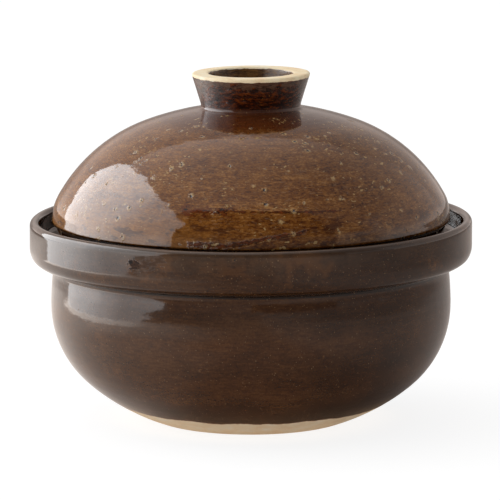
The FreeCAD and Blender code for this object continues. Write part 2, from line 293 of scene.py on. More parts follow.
def wall_faces(rows, last):
    """Quads between the rows, and a fan to point 0 below them and to the last above them."""
    index = 1 + np.arange(rows * COLUMNS).reshape(rows, COLUMNS)
    beside = np.roll(index, -1, axis=1)
    quads = np.stack([index[:-1], beside[:-1], beside[1:], index[1:]], axis=2).reshape(-1, 4)
    below = [(0, int(after), int(here)) for here, after in zip(index[0], beside[0])]
    above = [(last, int(here), int(after)) for here, after in zip(index[-1], beside[-1])]
    return below + quads.tolist() + above


def turned_piece(name, outline, relief, settle, outer, inner):
    """A closed turned mesh with relief pushed out of its wall, glazed outside and inside."""
    grid = wall_grid(outline, relief, settle)
    points = np.concatenate([[grid[0].mean(axis=0)], grid[1:-1].reshape(-1, 3),
                             [grid[-1].mean(axis=0)]])
    faces = wall_faces(len(grid) - 2, len(points) - 1)
    mesh = bpy.data.meshes.new(name)
    mesh.from_pydata(points.tolist(), [], faces)
    mesh.polygons.foreach_set("use_smooth", [True] * len(faces))
    along = np.concatenate([outline.along[:1], np.repeat(outline.along[1:-1], COLUMNS),
                            outline.along[-1:]])
    mesh.attributes.new("along", "FLOAT", "POINT").data.foreach_set("value", along)
    mesh.materials.append(outer)
    mesh.materials.append(inner)
    outside = np.concatenate([outline.outside[:-2], outline.outside[-1:]])
    used = np.repeat(np.where(outside, 0, 1), COLUMNS)
    mesh.polygons.foreach_set("material_index", used.astype(np.int32))
    mesh.update()
    piece = bpy.data.objects.new(name, mesh)
    bpy.context.scene.collection.objects.link(piece)
    return piece


# Node materials

class Nodes:
    """Builds nodes in a tree; most calls return the new node's output."""

    def __init__(self, tree):
        self.tree = tree

    def node(self, kind, inputs=(), **settings):
        made = self.tree.nodes.new(kind)
        for name, value in settings.items():
            setattr(made, name, value)
        for slot, value in dict(inputs).items():
            self.feed(made.inputs[slot], value)
        return made

    def feed(self, socket, value):
        if isinstance(value, bpy.types.NodeSocket):
            self.tree.links.new(value, socket)
        elif isinstance(value, tuple) and len(value) == 3 and socket.type == "RGBA":
            socket.default_value = (*value, 1)
        else:
            socket.default_value = value

    def calc(self, operation, one, other=0.0, third=0.0, clamp=False):
        made = self.node("ShaderNodeMath", {0: one, 1: other, 2: third}, operation=operation,
                         use_clamp=clamp)
        return made.outputs[0]

    def plus(self, *terms):
        total = terms[0]
        for term in terms[1:]:
            total = self.calc("ADD", total, term)
        return total

    def times(self, *factors):
        product = factors[0]
        for factor in factors[1:]:
            product = self.calc("MULTIPLY", product, factor)
        return product

    def weighted(self, *parts):
        """The sum of parts, each (value, weight)."""
        return self.plus(*[self.times(value, weight) for value, weight in parts])

    def rest_of(self, share):
        return self.calc("SUBTRACT", 1.0, share)

    def vector(self, operation, one, other=(0, 0, 0)):
        made = self.node("ShaderNodeVectorMath", {0: one, 1: other}, operation=operation)
        return made.outputs["Value" if operation == "LENGTH" else "Vector"]

    def scaled(self, vector, amount):
        made = self.node("ShaderNodeVectorMath", {"Vector": vector, "Scale": amount},
                         operation="SCALE")
        return made.outputs["Vector"]

    def split(self, vector):
        return self.node("ShaderNodeSeparateXYZ", {"Vector": vector}).outputs

    def join(self, x, y, z):
        return self.node("ShaderNodeCombineXYZ", {"X": x, "Y": y, "Z": z}).outputs[0]

    def noise(self, vector, scale, detail=3.0, rough=0.55):
        made = self.node("ShaderNodeTexNoise", {"Vector": vector, "Scale": scale,
                                                "Detail": detail, "Roughness": rough})
        return made.outputs["Fac"]

    def cells(self, vector, scale):
        made = self.node("ShaderNodeTexVoronoi", {"Vector": vector, "Scale": scale})
        return made.outputs["Distance"], made.outputs["Color"]

    def ratio(self, value, low, high):
        """Value carried evenly from low..high to 0..1."""
        made = self.node("ShaderNodeMapRange", {"Value": value, "From Min": low, "From Max": high})
        return made.outputs["Result"]

    def span(self, value, low, high, start=0.0, end=1.0):
        """Value carried smoothly from low..high to start..end."""
        made = self.node("ShaderNodeMapRange",
                         {"Value": value, "From Min": low, "From Max": high,
                          "To Min": start, "To Max": end}, interpolation_type="SMOOTHSTEP")
        return made.outputs["Result"]

    def within(self, value, low, full, still, high):
        """1 from full to still, and smoothly down to 0 at low and at high."""
        return self.times(self.span(value, low, full), self.span(value, high, still))

    def mix(self, share, one, other):
        made = self.node("ShaderNodeMix", {"Factor": share, "A": one, "B": other},
                         data_type="RGBA")
        return made.outputs["Result"]

    def ramp(self, value, stops):
        made = self.node("ShaderNodeValToRGB", {"Fac": value})
        elements = made.color_ramp.elements
        while len(elements) < len(stops):
            elements.new(0.5)
        for element, (place, colour) in zip(elements, stops):
            element.position = place
            element.color = (*colour, 1)
        return made.outputs["Color"]

    def grey_ramp(self, value, stops):
        return self.ramp(value, [(place, (level, level, level)) for place, level in stops])

    def bumps(self, *reliefs):
        """A normal with several reliefs on it, each (height, depth)."""
        normal = None
        for height, depth in reliefs:
            inputs = {"Height": height, "Distance": depth, "Strength": 1.0}
            if normal is not None:
                inputs["Normal"] = normal
            normal = self.node("ShaderNodeBump", inputs).outputs["Normal"]
        return normal

    def lit_surface(self, colour, glow, strength):
        """A matt surface that also gives light."""
        matt = self.node("ShaderNodeBsdfDiffuse", {"Color": colour}).outputs[0]
        lamp = self.node("ShaderNodeEmission", {"Color": glow, "Strength": strength}).outputs[0]
        return self.node("ShaderNodeAddShader", {0: matt, 1: lamp}).outputs[0]


class Shader(Nodes):
    """A material's nodes round its Principled BSDF."""

    def __init__(self, name):
        self.material = bpy.data.materials.new(name)
        self.material.use_nodes = True
        super().__init__(self.material.node_tree)
        self.bsdf = self.tree.nodes["Principled BSDF"]
        self.place = self.node("ShaderNodeTexCoord").outputs["Object"]

    def set(self, **inputs):
        for name, value in inputs.items():
            self.feed(self.bsdf.inputs[name.replace("_", " ")], value)


def place_on_wall(shader):
    """Radius, height and a vector that follows the wall: round it and along it."""
    x, y, z = shader.split(shader.place)
    level = shader.join(x, y, 0.0)
    radius = shader.vector("LENGTH", level)
    round_x, round_y, _ = shader.split(shader.vector("NORMALIZE", level))
    along = shader.node("ShaderNodeAttribute", attribute_name="along").outputs["Fac"]
    return radius, z, shader.join(round_x, round_y, along)


def streaks(shader, wall, round_scale, along_scale, detail=3.0, rough=0.6):
    """Noise drawn out round the pot, as brush and throwing marks are."""
    place = shader.vector("MULTIPLY", wall, (round_scale, round_scale, along_scale))
    return shader.noise(place, 1.0, detail, rough)


def flat_place(shader, times_up):
    """The place with its height multiplied: noise on it lies flat."""
    return shader.vector("MULTIPLY", shader.place, (1.0, 1.0, times_up))


def pits_of(shader, cell, size, share):
    """Burst bubbles in the glaze: the dark bowl of each, and its ragged pale lip."""
    shake = shader.node("ShaderNodeTexNoise", {"Vector": shader.place, "Scale": 900.0})
    offset = shader.vector("SUBTRACT", shake.outputs["Color"], (0.5, 0.5, 0.5))
    offset = shader.scaled(offset, 2.0 * size)
    distance, tone = shader.cells(shader.vector("ADD", shader.place, offset), 1 / cell)
    present, large, _ = shader.split(tone)
    present = shader.span(present, share, share - 0.02)
    away = shader.calc("DIVIDE", distance, shader.span(large, 0.0, 1.0, 0.5, 1.5))
    reach = size / cell
    bowl = shader.span(away, 0.75 * reach, 0.4 * reach)
    lip = shader.calc("SUBTRACT", shader.span(away, 1.7 * reach, 0.9 * reach), bowl)
    ragged = shader.span(shader.noise(shader.place, 420.0, 2.0), 0.42, 0.56)
    return shader.times(bowl, present), shader.times(lip, ragged, present)


def dent_of(shader, bowl, lip):
    """Height of burst bubbles: the bowl sinks and its lip stands up a little."""
    return shader.calc("SUBTRACT", shader.times(lip, 0.3), bowl)


def stroke(shader, start, end, half):
    """Share of a ragged brush stroke on the front, between two (x, z) points."""
    x, y, z = shader.split(shader.place)
    way = (end[0] - start[0], end[1] - start[1])
    squared = way[0] ** 2 + way[1] ** 2
    across = shader.calc("SUBTRACT", x, start[0])
    up = shader.calc("SUBTRACT", z, start[1])
    share = shader.calc("ADD", shader.times(across, way[0] / squared),
                        shader.times(up, way[1] / squared), clamp=True)
    off = shader.join(shader.calc("SUBTRACT", across, shader.times(share, way[0])), 0.0,
                      shader.calc("SUBTRACT", up, shader.times(share, way[1])))
    ragged = shader.noise(flat_place(shader, 2.5), 150.0, 4.0, 0.65)
    away = shader.plus(shader.vector("LENGTH", off), shader.span(ragged, 0.25, 0.75, -half, half))
    return shader.times(shader.span(away, half, 0.4 * half), shader.span(y, 0.0, -20 * MM))


def clay_colour(shader, tint):
    """Fired clay without glaze, cream to buff, and its grain."""
    mottle = shader.noise(shader.place, 80.0, 5.0, 0.6)
    grain = shader.noise(shader.place, 1400.0, 3.0, 0.7)
    clay = shader.ramp(mottle, [(0.3, (0.92, 0.69, 0.42)), (0.5, (0.98, 0.80, 0.52)),
                                (0.72, (0.99, 0.90, 0.68))])
    clay = shader.mix(shader.span(grain, 0.5, 0.85, 0.0, 0.4), clay, (0.62, 0.36, 0.18))
    return shader.vector("MULTIPLY", clay, tint), grain


def end_glaze(shader, glaze, past, soft, thinning, thin_colour, clay):
    """Ends the glaze where past turns positive: it thins, and then the clay is bare."""
    glaze = shader.mix(shader.span(past, -thinning, 0.0), glaze, thin_colour)
    bare = shader.span(past, -soft, soft)
    return shader.mix(bare, glaze, clay), bare


def lid_ground(shader, wall, radius, height, tone):
    """Amber with brush dashes, darker towards the top; painted shade and painted reflection in a
    dark red ring round the knob; painted shade on the right; and amber-gold low on the left, partly
    the glaze's own colour and partly painted light from the softbox.
    """
    across = shader.split(shader.place)[0]
    glaze = shader.ramp(tone, [(0.40, (0.055, 0.013, 0.002)), (0.46, (0.125, 0.038, 0.005)),
                               (0.53, (0.195, 0.070, 0.011)), (0.61, (0.320, 0.140, 0.035))])
    pale = shader.span(streaks(shader, wall, 30.0, 900.0, 2.0), 0.54, 0.72, 0.0, 0.25)
    glaze = shader.mix(pale, glaze, (0.38, 0.25, 0.14))
    dashes = shader.span(streaks(shader, wall, 46.0, 1000.0), 0.57, 0.68)
    dashes = shader.times(dashes, shader.span(height, 205 * MM, 165 * MM, 0.25, 0.7))
    glaze = shader.mix(dashes, glaze, (0.035, 0.009, 0.002))
    dots = shader.span(shader.noise(shader.place, 1000.0, 2.0, 0.5), 0.60, 0.68, 0.0, 0.65)
    glaze = shader.mix(dots, glaze, (0.035, 0.010, 0.003))
    # Painted shade and painted reflection: a dark red ring round the knob's foot stands in for the
    # knob's shade and its dark mirror image on the dome.
    knob_shade_ring = shader.span(radius, 78 * MM, 60 * MM, 0.0, 0.8)
    glaze = shader.mix(knob_shade_ring, glaze, (0.055, 0.008, 0.001))
    higher = shader.span(height, 175 * MM, 215 * MM, 0.0, 0.2)
    glaze = shader.mix(higher, glaze, (0.030, 0.010, 0.006))
    # Painted shade: the lid's right side, away from the softbox, is made darker.
    right = shader.span(across, 10 * MM, 80 * MM, 0.0, 0.2)
    glaze = shader.mix(right, glaze, (0.030, 0.010, 0.004))
    # Partly the glaze's own amber-gold and partly painted light: lighter low on the left, where the
    # softbox falls.
    gold_and_softbox_light = shader.times(shader.span(height, 172 * MM, 150 * MM, 0.0, 0.35),
                          shader.span(across, 0.0, -60 * MM))
    return shader.mix(gold_and_softbox_light, glaze, (0.34, 0.14, 0.025))


def lid_marks(shader, wall, height, glaze):
    """Dark red clots, strokes and lumps low on the front, painted shade under the lid's edge, and
    the height of their crust.
    """
    clots = shader.span(streaks(shader, wall, 7.0, 150.0, 4.0, 0.65), 0.54, 0.60)
    clots = shader.times(clots, shader.span(height, 168 * MM, 156 * MM, 0.0, 0.7))
    glaze = shader.mix(clots, glaze, (0.040, 0.009, 0.002))
    upper = stroke(shader, (-46 * MM, 166.8 * MM), (-12 * MM, 167.6 * MM), 2.8 * MM)
    thin = stroke(shader, (-10 * MM, 167.6 * MM), (62 * MM, 166.4 * MM), 0.9 * MM)
    run = stroke(shader, (-12 * MM, 146.5 * MM), (36 * MM, 154.5 * MM), 1.6 * MM)
    lumps = stroke(shader, (-42 * MM, 145.2 * MM), (-6 * MM, 145.6 * MM), 2.2 * MM)
    raised = shader.calc("MAXIMUM", run, lumps)
    crust = shader.noise(flat_place(shader, 2.0), 320.0, 4.0, 0.7)
    glaze = shader.mix(shader.times(upper, 0.85), glaze, (0.10, 0.018, 0.002))
    spots = shader.times(upper, shader.span(crust, 0.5, 0.43, 0.0, 0.9))
    dark = shader.times(shader.calc("MAXIMUM", thin, raised),
                        shader.span(crust, 0.35, 0.5, 0.55, 0.95))
    dark_red = shader.ramp(crust, [(0.42, (0.010, 0.002, 0.001)), (0.62, (0.15, 0.032, 0.004))])
    glaze = shader.mix(shader.calc("MAXIMUM", dark, spots), glaze, dark_red)
    # Painted shade: the glaze is made near black under the lid's tucked-in edge.
    tuck_shade = shader.times(shader.span(height, 143.4 * MM, 142.2 * MM),
                        shader.span(height, 132 * MM, 138 * MM, 0.3, 0.9))
    glaze = shader.mix(tuck_shade, glaze, (0.010, 0.003, 0.001))
    return glaze, shader.times(crust, raised)


def lid_flecks(shader, wall, glaze):
    """Golden flecks, specks and burst bubbles, and the bubbles' dents."""
    gather = shader.noise(shader.place, 38.0, 2.0, 0.5)
    flecks = shader.plus(streaks(shader, wall, 34.0, 420.0, 2.0, 0.5),
                         shader.span(gather, 0.35, 0.65, -0.12, 0.05))
    glaze = shader.mix(shader.span(flecks, 0.66, 0.72, 0.0, 0.8), glaze, (0.42, 0.27, 0.11))
    specks, _ = pits_of(shader, 4 * MM, 0.5 * MM, 0.3)
    glaze = shader.mix(shader.times(specks, 0.8), glaze, (0.50, 0.33, 0.13))
    bowl, lip = pits_of(shader, 8.5 * MM, 1.2 * MM, 0.7)
    glaze = shader.mix(shader.times(lip, 0.7), glaze, (0.48, 0.31, 0.13))
    glaze = shader.mix(bowl, glaze, (0.015, 0.005, 0.003))
    return glaze, dent_of(shader, bowl, lip)


def knob_glaze(shader, radius, height, burnt):
    """Burnt red-brown with glints and milky drips outside, thin and amber in the hollow."""
    knob = shader.ramp(burnt, [(0.38, (0.003, 0.0006, 0.0003)), (0.5, (0.036, 0.005, 0.0005)),
                               (0.64, (0.15, 0.032, 0.003))])
    glints = shader.span(shader.noise(shader.place, 900.0, 3.0, 0.6), 0.67, 0.72)
    knob = shader.mix(glints, knob, (0.38, 0.18, 0.03))
    milky = shader.plus(shader.noise(shader.place, 110.0, 4.0, 0.6),
                        shader.span(height, KNOB_TOP - 12 * MM, KNOB_TOP - 5 * MM, -0.2, 0.1))
    milk = shader.ramp(burnt, [(0.4, (0.030, 0.010, 0.004)), (0.55, (0.105, 0.052, 0.030))])
    knob = shader.mix(shader.span(milky, 0.5, 0.56, 0.0, 0.85), knob, milk)
    thin = shader.ramp(burnt, [(0.4, (0.05, 0.02, 0.004)), (0.6, (0.20, 0.09, 0.018))])
    hollow = shader.span(radius, KNOB_HOLE + 0.5 * MM, KNOB_HOLE - 0.5 * MM)
    return shader.mix(hollow, knob, thin)


def past_knob_line(shader, radius, height):
    """How far a place on the knob lies above the ragged line where its glaze ends."""
    ragged = shader.noise(shader.place, 160.0, 3.0, 0.6)
    level = shader.plus(height, shader.span(ragged, 0.2, 0.8, -0.35 * MM, 0.35 * MM))
    bare_height = shader.span(radius, KNOB_HOLE + 0.4 * MM, KNOB_HOLE, KNOB_BARE_OUTSIDE,
                              KNOB_BARE_INSIDE)
    return shader.calc("SUBTRACT", level, shader.calc("SUBTRACT", KNOB_TOP, bare_height))


def lid_glaze():
    """Amber glaze with fine brush lines, dark red streaks, gold flecks and burst bubbles, with
    painted shade and painted light on it.
    """
    shader = Shader("lid_glaze")
    radius, height, wall = place_on_wall(shader)
    mottle = shader.noise(shader.place, 90.0, 5.0, 0.6)
    bands = streaks(shader, wall, 1.5, 55.0)
    lines = streaks(shader, wall, 14.0, 430.0)
    hairs = streaks(shader, wall, 55.0, 1000.0, 2.0)
    burnt = shader.noise(flat_place(shader, 2.6), 190.0, 6.0, 0.72)
    tone = shader.weighted((bands, 0.15), (mottle, 0.2), (lines, 0.3), (hairs, 0.35))

    glaze = lid_ground(shader, wall, radius, height, tone)
    glaze, crust = lid_marks(shader, wall, height, glaze)
    glaze, dents = lid_flecks(shader, wall, glaze)
    on_knob = shader.times(shader.span(radius, KNOB_RADIUS + MM, KNOB_RADIUS),
                           shader.span(height, KNOB_TOP - 24 * MM, KNOB_TOP - 22 * MM))
    glaze = shader.mix(on_knob, glaze, knob_glaze(shader, radius, height, burnt))
    clay, _ = clay_colour(shader, (1.0, 1.0, 1.0))
    colour, bare = end_glaze(shader, glaze, past_knob_line(shader, radius, height),
                             0.15 * MM, 1.0 * MM, (0.10, 0.03, 0.008), clay)

    peel = shader.noise(shader.place, 240.0, 2.0, 0.5)
    normal = shader.bumps((peel, 0.05 * MM), (lines, 0.03 * MM), (hairs, 0.008 * MM),
                          (shader.times(burnt, on_knob), 0.25 * MM), (crust, 0.5 * MM),
                          (dents, 0.6 * MM))
    rough = shader.plus(shader.span(mottle, 0.3, 0.7, 0.03, 0.06), shader.times(on_knob, 0.04),
                        shader.times(bare, 0.5))
    shader.set(Base_Color=colour, Roughness=rough, Normal=normal, IOR=1.5)
    return shader.material


def pot_ground(shader, height, tone):
    """Dark brown, times a painted shade ramp by height: lighter and darker steps on the bowl that
    follow the light on it, darkest from the top of the bowl upward, and lifted again in a strip
    close under the band's edge.
    """
    glaze = shader.ramp(tone, [(0.40, (0.032, 0.010, 0.002)), (0.5, (0.062, 0.021, 0.005)),
                               (0.60, (0.105, 0.041, 0.012))])
    # Painted shade: this ramp by height stands in for how the light falls on the bowl, with the
    # band's shade at the bowl's top.
    shade = shader.grey_ramp(shader.span(height, 0.0, 100 * MM),
                             [(0.0, 0.5), (0.25, 0.55), (0.5, 0.55), (0.63, 0.46), (0.75, 0.53),
                              (0.86, 0.62), (1.0, 0.38)])
    # Takes back part of that painted shade in a strip just under the band's edge.
    under_band = shader.within(height, BAND_EDGE - 13 * MM, BAND_EDGE - 8 * MM,
                               BAND_EDGE - 1.2 * MM, BAND_EDGE - 0.4 * MM)
    strength = shader.calc("MULTIPLY_ADD", under_band, 0.6, 1.65)
    return shader.scaled(shader.vector("MULTIPLY", glaze, shade), strength)


def pot_tints(shader, radius, height, mottle, glaze):
    """Rust on the band; painted shade on the right front and in the join under the band; and grey
    on the band's top, partly the glaze's own grey and partly a painted sheen from the softbox,
    strongest on the left.
    """
    x, y, _ = shader.split(shader.place)
    rust = shader.span(shader.noise(shader.place, 24.0, 5.0, 0.7), 0.54, 0.68, 0.0, 0.7)
    rust = shader.times(rust, shader.span(height, 108 * MM, 122 * MM))
    patch = stroke(shader, (-30 * MM, 133 * MM), (-6 * MM, 131 * MM), 6 * MM)
    rust = shader.calc("MAXIMUM", rust, shader.times(patch, 0.3))
    glaze = shader.mix(rust, glaze, (0.13, 0.048, 0.012))
    # Painted shade: the right front is made darker, where less light falls.
    darker = shader.times(shader.within(x, 15 * MM, 60 * MM, 95 * MM, 120 * MM), 0.35,
                          shader.span(y, 0.0, -60 * MM))
    glaze = shader.mix(darker, glaze, (0.012, 0.003, 0.001))
    # Painted shade: near black in the join under the band's edge.
    crease_shade = shader.within(height, BAND_EDGE - 1.8 * MM, BAND_EDGE - 1.0 * MM,
                           BAND_EDGE + 0.6 * MM, BAND_EDGE + 1.4 * MM)
    glaze = shader.mix(shader.times(crease_shade, 0.85), glaze, (0.006, 0.002, 0.001))
    # Partly grey glaze and partly a painted sheen from the softbox, strongest on the left.
    ash_and_sheen = shader.plus(height, shader.span(mottle, 0.3, 0.7, -5 * MM, 5 * MM))
    ash_and_sheen = shader.times(shader.span(ash_and_sheen, 124 * MM, 144 * MM, 0.0, 0.6),
                       shader.span(radius, 140 * MM, 150 * MM),
                       shader.span(x, 120 * MM, -40 * MM, 0.4, 1.0))
    return shader.mix(ash_and_sheen, glaze, (0.064, 0.041, 0.027))


def pot_specks(shader, glaze):
    """Pale specks and a few burst bubbles, and the bubbles' dents."""
    specks, _ = pits_of(shader, 2.0 * MM, 0.38 * MM, 0.75)
    glaze = shader.mix(shader.times(specks, 0.6), glaze, (0.26, 0.16, 0.08))
    bowl, lip = pits_of(shader, 12 * MM, 0.7 * MM, 0.4)
    glaze = shader.mix(shader.times(lip, 0.4), glaze, (0.20, 0.09, 0.03))
    glaze = shader.mix(bowl, glaze, (0.015, 0.006, 0.003))
    return glaze, dent_of(shader, bowl, lip)


def fire_mark(shader, glaze):
    """A scar on the band, where the glaze blistered: also its dull share and its crust."""
    away = shader.vector("LENGTH", shader.vector("SUBTRACT", shader.place, FIRE_MARK))
    crust = shader.noise(shader.place, 330.0, 4.0, 0.7)
    away = shader.plus(away, shader.span(crust, 0.3, 0.7, -2.0 * MM, 2.0 * MM))
    core = shader.span(away, 4.4 * MM, 3.4 * MM)
    dull = stroke(shader, (-76 * MM, 131 * MM), (-62 * MM, 136 * MM), 3.6 * MM)
    glaze = shader.mix(shader.times(dull, 0.6), glaze, (0.050, 0.022, 0.010))
    scar = shader.ramp(crust, [(0.42, (0.004, 0.001, 0.0005)), (0.62, (0.08, 0.027, 0.006))])
    glaze = shader.mix(core, glaze, scar)
    return glaze, shader.calc("MAXIMUM", dull, core), shader.times(core, crust)


def past_foot_line(shader, wall, height):
    """How far a place lies below the wavy line where the glaze ends above the foot."""
    round_x, round_y, _ = shader.split(wall)
    drift = shader.noise(shader.join(round_x, round_y, 0.0), 3.0, 4.0, 0.6)
    line = shader.span(drift, 0.2, 0.8, FOOT_GLAZE_HEIGHT - FOOT_GLAZE_WAVE,
                       FOOT_GLAZE_HEIGHT + FOOT_GLAZE_WAVE)
    return shader.calc("SUBTRACT", line, height)


def pot_glaze():
    """Dark brown glaze with painted shade, greyer on the band partly from a painted sheen, with
    orange patches and bare clay at the foot.
    """
    shader = Shader("pot_glaze")
    radius, height, wall = place_on_wall(shader)
    mottle = shader.noise(shader.place, 45.0, 6.0, 0.65)
    bands = streaks(shader, wall, 1.2, 40.0, 4.0)
    lines = streaks(shader, wall, 20.0, 600.0)
    cloud = shader.noise(shader.place, 700.0, 3.0, 0.7)
    tone = shader.weighted((bands, 0.3), (mottle, 0.2), (lines, 0.25), (cloud, 0.25))

    glaze = pot_ground(shader, height, tone)
    glaze = pot_tints(shader, radius, height, mottle, glaze)
    glaze, dents = pot_specks(shader, glaze)
    glaze, dull, crust = fire_mark(shader, glaze)
    # Painted shade: the foot's bare clay is the knob ring's clay made darker and cooler.
    clay, grain = clay_colour(shader, (0.74, 0.73, 0.78))
    colour, bare = end_glaze(shader, glaze, past_foot_line(shader, wall, height),
                             0.2 * MM, 1.6 * MM, (0.16, 0.055, 0.018), clay)

    peel = shader.noise(shader.place, 130.0, 2.0, 0.5)
    normal = shader.bumps((peel, 0.07 * MM), (lines, 0.008 * MM), (dents, 0.25 * MM),
                          (crust, 0.5 * MM), (shader.times(grain, bare), 0.25 * MM))
    rough = shader.plus(shader.span(mottle, 0.3, 0.7, 0.05, 0.09), shader.times(bare, 0.7))
    rough = shader.calc("ADD", rough, shader.times(dull, 0.9), clamp=True)
    shader.set(Base_Color=colour, Roughness=rough, Normal=normal, IOR=1.5)
    return shader.material


def inner_glaze(name, dark, light):
    """Thinner glaze on the inside, with throwing lines and a few pits."""
    shader = Shader(name)
    _, _, wall = place_on_wall(shader)
    bands = streaks(shader, wall, 2.0, 120.0, 4.0)
    mottle = shader.noise(shader.place, 70.0, 4.0, 0.6)
    glaze = shader.ramp(shader.weighted((bands, 0.5), (mottle, 0.5)), [(0.38, dark), (0.62, light)])
    bowl, _ = pits_of(shader, 8 * MM, 0.8 * MM, 0.5)
    glaze = shader.mix(bowl, glaze, (0.02, 0.008, 0.004))
    normal = shader.bumps((bands, 0.12 * MM), (bowl, -0.3 * MM))
    rough = shader.span(mottle, 0.3, 0.7, 0.18, 0.32)
    shader.set(Base_Color=glaze, Roughness=rough, Normal=normal, IOR=1.5)
    return shader.material


def rack_steel():
    """Drawn steel wire: bright, with faint lines, warmed a little by heat and smoke."""
    shader = Shader("rack_steel")
    tint = shader.noise(shader.place, 28.0, 4.0, 0.6)
    smoke = shader.noise(shader.place, 160.0, 4.0, 0.7)
    drawn = shader.noise(shader.place, 2200.0, 2.0, 0.5)
    colour = shader.ramp(tint, [(0.35, (0.62, 0.61, 0.60)), (0.6, (0.58, 0.54, 0.47))])
    colour = shader.mix(shader.span(smoke, 0.55, 0.75, 0.0, 0.4), colour, (0.28, 0.22, 0.16))
    rough = shader.span(smoke, 0.35, 0.75, 0.22, 0.42)
    shader.set(Base_Color=colour, Roughness=rough, Normal=shader.bumps((drawn, 0.03 * MM)),
               Metallic=1.0)
    return shader.material


# Pieces

def lean(x, z):
    """The wall leans a little more the higher it stands."""
    return z + math.tan(LEAN) * x * np.clip(z / POT_TOP, 0, 1) ** 2


def make_pot(outer, inner):
    """Pot: outside, band, gutter and lip are fine rows; the bowl's inside is coarser."""
    def outside(radius, height):
        crest = np.argmax(height)
        lip_top = np.flatnonzero(radius > LIP_INSIDE)[-1]
        return np.arange(len(radius)) <= max(crest, lip_top)

    rings = ripples(11, 9 * MM, 0.014 * MM)
    fine = ripples(12, 3.4 * MM, 0.003 * MM)
    dents = dimples(13, 12 * MM, 0.010 * MM)
    sway = dimples(14, 160 * MM, 0.22 * MM, 12)

    def relief(rows, angle, x, y, z):
        along = rows.along[:, None]
        off_ground = np.clip((rows.height[:, None] - 3 * MM) / (6 * MM), 0, 1)
        edge = np.clip((POT_RADIUS - rows.radius[:, None]) / (2 * MM), 0, 1)
        widest = np.clip((rows.radius[:, None] - POT_RADIUS) / (6 * MM) + 1, 0, 1)
        push = rings(along, angle) * edge + fine(along, angle) + dents(x, y, z) + sway(x, y, z)
        return off_ground * push - BOX_ROOM * widest

    def settle(x, y, z):
        return x, y, lean(x, z + np.interp(z, BAND_FOOT_HEIGHTS, BAND_FOOT_LIFT))

    outline = Outline("pot_body", outside)
    piece = turned_piece("pot", outline, relief, settle, outer, inner)
    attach(piece, "pot")
    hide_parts("pot_body")


def make_lid(outer, inner):
    """Lid: dome, knob and edge are fine rows; the inside is coarser."""
    def outside(radius, height):
        foot = np.flatnonzero(height < LID_FOOT + 1 * MM)[0]
        return np.arange(len(radius)) >= foot

    rings = ripples(21, 8 * MM, 0.014 * MM)
    fine = ripples(22, 2.6 * MM, 0.005 * MM)
    dents = dimples(23, 7 * MM, 0.012 * MM)
    sway = dimples(24, 150 * MM, 0.18 * MM, 12)

    def relief(rows, angle, x, y, z):
        along = rows.along[:, None]
        clear = np.clip((rows.height[:, None] - LID_FOOT - 3 * MM) / (6 * MM), 0, 1)
        below_top = np.clip((KNOB_TOP - rows.height[:, None]) / (3 * MM), 0, 1)
        push = rings(along, angle) + fine(along, angle) + dents(x, y, z) + sway(x, y, z)
        edge = np.interp(rows.height, EDGE_HEIGHTS, EDGE_PUSH) * rows.outside
        return clear * below_top * push + edge[:, None]

    def settle(x, y, z):
        lowered = LID_FOOT + (z - LID_FOOT) * (1 - BOX_ROOM / (KNOB_TOP - LID_FOOT))
        return x + LID_SHIFT, y, lowered + math.tan(LEAN) * x

    outline = Outline("lid", outside, KNOB_BASE)
    piece = turned_piece("lid", outline, relief, settle, outer, inner)
    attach(piece, "lid")
    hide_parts("lid")


def dress_racks(material):
    for name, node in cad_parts.items():
        if "_rack_" in name:
            node.data.materials.clear()
            node.data.materials.append(material)


# Studio

def make_camera():
    data = bpy.data.cameras.new("camera")
    data.lens = CAMERA_LENS
    data.clip_end = CAMERA_REACH
    camera = bpy.data.objects.new("camera", data)
    camera.location = CAMERA_PLACE
    camera.rotation_euler = (math.pi / 2 - CAMERA_PITCH, 0, 0)
    bpy.context.scene.collection.objects.link(camera)
    bpy.context.scene.camera = camera


def softbox_shape(sheet, across, up):
    """The lit part of the softbox: its back edge leans away, its front edge curves below."""
    back = sheet.grey_ramp(up, [(0.0, 0.295), (0.045, 0.285), (0.08, 0.26), (0.26, 0.195),
                                (0.38, 0.154), (0.45, 0.109), (0.57, 0.05), (0.83, 0.12),
                                (0.94, 0.2), (1.0, 0.42)])
    front = sheet.grey_ramp(up, [(0.0, 0.79), (0.02, 0.81), (0.03, 0.83), (0.045, 0.88),
                                 (0.08, 0.935), (0.13, 0.965), (0.24, 1.0)])
    return sheet.times(sheet.span(sheet.calc("SUBTRACT", across, back), 0.0, 0.012),
                       sheet.span(sheet.calc("SUBTRACT", front, across), -0.012, 0.0))


def softbox_lamp(name, brightness, tint):
    """One lamp of the softbox: an upright sheet on the left that faces the pot."""
    data = bpy.data.lights.new(name, "AREA")
    data.color = tint
    data.shape = "RECTANGLE"
    data.size = SOFTBOX_WIDE
    data.size_y = SOFTBOX_TALL
    data.energy = brightness * SOFTBOX_WIDE * SOFTBOX_TALL * math.pi
    data.use_nodes = True
    sheet = Nodes(data.node_tree)
    across, up, _ = sheet.split(sheet.node("ShaderNodeNewGeometry").outputs["Parametric"])
    fade = sheet.grey_ramp(across, [(0.0, 0.95), (0.56, 1.0), (0.7, 0.5), (1.0, 0.45)])
    low = sheet.grey_ramp(up, [(0.0, 0.53), (0.045, 0.67), (0.11, 0.84), (0.22, 0.92),
                               (0.43, 1.0)])
    emission = data.node_tree.nodes["Emission"]
    sheet.feed(emission.inputs["Color"], fade)
    sheet.feed(emission.inputs["Strength"], sheet.times(softbox_shape(sheet, across, up), low))
    light = bpy.data.objects.new(name, data)
    light.location = (-SOFTBOX_AWAY, SOFTBOX_BACK, SOFTBOX_TALL / 2)
    light.rotation_euler = Vector((SOFTBOX_AWAY, 0, 0)).to_track_quat("-Z", "Y").to_euler()
    light.visible_camera = False
    bpy.context.scene.collection.objects.link(light)
    return light


